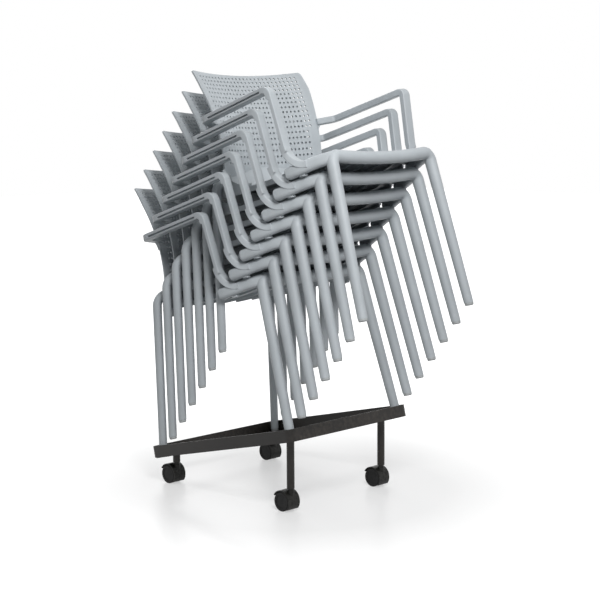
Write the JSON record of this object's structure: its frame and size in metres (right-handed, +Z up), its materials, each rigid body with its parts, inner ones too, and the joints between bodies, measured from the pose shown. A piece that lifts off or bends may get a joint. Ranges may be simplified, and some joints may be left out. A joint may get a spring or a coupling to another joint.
{
  "type": "stacked armchairs on a trolley",
  "caption": "Nested pile of grey plastic armchairs with perforated backs, standing on a sloping black steel trolley with twin-wheel swivel casters.",
  "frame": {"origin": "on the floor, under the middle of the object's box", "axes": "+Z up, the chairs face -Y, a sitter's right hand is towards -X"},
  "size_m": [0.5744, 0.9744, 1.2259],
  "materials": {
    "seat_plastic": "satin moulded plastic",
    "back_plastic": "satin moulded plastic",
    "arm_plastic": "satin moulded plastic",
    "glide_plastic": "matt",
    "black_paint": "satin black powder coat",
    "hood_plastic": "matt",
    "wheel_plastic": "matt",
    "steel": "zinc plated"
  },
  "bodies": {
    "trolley": {"trolley_front_bar": "black_paint", "trolley_rear_bar": "black_paint", "trolley_left_bar": "black_paint", "trolley_right_bar": "black_paint", "trolley_foot_plates": "black_paint", "trolley_front_posts": "black_paint", "trolley_rear_posts": "black_paint", "caster_stems": "steel"},
    "chair1": {"chair1_seat": "seat_plastic", "chair1_back": "back_plastic", "chair1_arms": "arm_plastic", "chair1_glides": "glide_plastic"},
    "chair2": {"chair2_seat": "seat_plastic", "chair2_back": "back_plastic", "chair2_arms": "arm_plastic", "chair2_glides": "glide_plastic"},
    "chair3": {"chair3_seat": "seat_plastic", "chair3_back": "back_plastic", "chair3_arms": "arm_plastic", "chair3_glides": "glide_plastic"},
    "chair4": {"chair4_seat": "seat_plastic", "chair4_back": "back_plastic", "chair4_arms": "arm_plastic", "chair4_glides": "glide_plastic"},
    "chair5": {"chair5_seat": "seat_plastic", "chair5_back": "back_plastic", "chair5_arms": "arm_plastic", "chair5_glides": "glide_plastic"},
    "chair6": {"chair6_seat": "seat_plastic", "chair6_back": "back_plastic", "chair6_arms": "arm_plastic", "chair6_glides": "glide_plastic"},
    "chair7": {"chair7_seat": "seat_plastic", "chair7_back": "back_plastic", "chair7_arms": "arm_plastic", "chair7_glides": "glide_plastic"},
    "caster_front_left": {"caster_front_left_housing": "hood_plastic", "caster_front_left_axle": "steel"},
    "caster_front_left_wheel_left": {"caster_front_left_wheel_left": "wheel_plastic"},
    "caster_front_left_wheel_right": {"caster_front_left_wheel_right": "wheel_plastic"},
    "caster_front_right": {"caster_front_right_housing": "hood_plastic", "caster_front_right_axle": "steel"},
    "caster_front_right_wheel_left": {"caster_front_right_wheel_left": "wheel_plastic"},
    "caster_front_right_wheel_right": {"caster_front_right_wheel_right": "wheel_plastic"},
    "caster_rear_left": {"caster_rear_left_housing": "hood_plastic", "caster_rear_left_axle": "steel"},
    "caster_rear_left_wheel_left": {"caster_rear_left_wheel_left": "wheel_plastic"},
    "caster_rear_left_wheel_right": {"caster_rear_left_wheel_right": "wheel_plastic"},
    "caster_rear_right": {"caster_rear_right_housing": "hood_plastic", "caster_rear_right_axle": "steel"},
    "caster_rear_right_wheel_left": {"caster_rear_right_wheel_left": "wheel_plastic"},
    "caster_rear_right_wheel_right": {"caster_rear_right_wheel_right": "wheel_plastic"}
  },
  "joints": [
    {"name": "chair1_lift", "type": "slide", "parent": "trolley", "child": "chair1", "axis": [0, 0.0373, 0.9993], "range_m": [0, 0.65]},
    {"name": "chair2_lift", "type": "slide", "parent": "chair1", "child": "chair2", "axis": [0, 0.0373, 0.9993], "range_m": [0, 0.65]},
    {"name": "chair3_lift", "type": "slide", "parent": "chair2", "child": "chair3", "axis": [0, 0.0373, 0.9993], "range_m": [0, 0.65]},
    {"name": "chair4_lift", "type": "slide", "parent": "chair3", "child": "chair4", "axis": [0, 0.0373, 0.9993], "range_m": [0, 0.65]},
    {"name": "chair5_lift", "type": "slide", "parent": "chair4", "child": "chair5", "axis": [0, 0.0373, 0.9993], "range_m": [0, 0.65]},
    {"name": "chair6_lift", "type": "slide", "parent": "chair5", "child": "chair6", "axis": [0, 0.0373, 0.9993], "range_m": [0, 0.65]},
    {"name": "chair7_lift", "type": "slide", "parent": "chair6", "child": "chair7", "axis": [0, 0.0373, 0.9993], "range_m": [0, 0.65]},
    {"name": "caster_front_left_swivel", "type": "hinge", "parent": "trolley", "child": "caster_front_left", "pos_m": [0.189, -0.17433, 0.06], "axis": [0, 0, 1], "continuous": true},
    {"name": "caster_front_left_spin_left", "type": "hinge", "parent": "caster_front_left", "child": "caster_front_left_wheel_left", "pos_m": [0.189, -0.15633, 0.0275], "axis": [1, 0, 0], "continuous": true},
    {"name": "caster_front_left_spin_right", "type": "hinge", "parent": "caster_front_left", "child": "caster_front_left_wheel_right", "pos_m": [0.189, -0.15633, 0.0275], "axis": [1, 0, 0], "continuous": true},
    {"name": "caster_front_right_swivel", "type": "hinge", "parent": "trolley", "child": "caster_front_right", "pos_m": [-0.189, -0.17433, 0.06], "axis": [0, 0, 1], "continuous": true},
    {"name": "caster_front_right_spin_left", "type": "hinge", "parent": "caster_front_right", "child": "caster_front_right_wheel_left", "pos_m": [-0.189, -0.15633, 0.0275], "axis": [1, 0, 0], "continuous": true},
    {"name": "caster_front_right_spin_right", "type": "hinge", "parent": "caster_front_right", "child": "caster_front_right_wheel_right", "pos_m": [-0.189, -0.15633, 0.0275], "axis": [1, 0, 0], "continuous": true},
    {"name": "caster_rear_left_swivel", "type": "hinge", "parent": "trolley", "child": "caster_rear_left", "pos_m": [0.203, 0.29707, 0.06], "axis": [0, 0, 1], "continuous": true},
    {"name": "caster_rear_left_spin_left", "type": "hinge", "parent": "caster_rear_left", "child": "caster_rear_left_wheel_left", "pos_m": [0.203, 0.31507, 0.0275], "axis": [1, 0, 0], "continuous": true},
    {"name": "caster_rear_left_spin_right", "type": "hinge", "parent": "caster_rear_left", "child": "caster_rear_left_wheel_right", "pos_m": [0.203, 0.31507, 0.0275], "axis": [1, 0, 0], "continuous": true},
    {"name": "caster_rear_right_swivel", "type": "hinge", "parent": "trolley", "child": "caster_rear_right", "pos_m": [-0.203, 0.29707, 0.06], "axis": [0, 0, 1], "continuous": true},
    {"name": "caster_rear_right_spin_left", "type": "hinge", "parent": "caster_rear_right", "child": "caster_rear_right_wheel_left", "pos_m": [-0.203, 0.31507, 0.0275], "axis": [1, 0, 0], "continuous": true},
    {"name": "caster_rear_right_spin_right", "type": "hinge", "parent": "caster_rear_right", "child": "caster_rear_right_wheel_right", "pos_m": [-0.203, 0.31507, 0.0275], "axis": [1, 0, 0], "continuous": true}
  ]
}
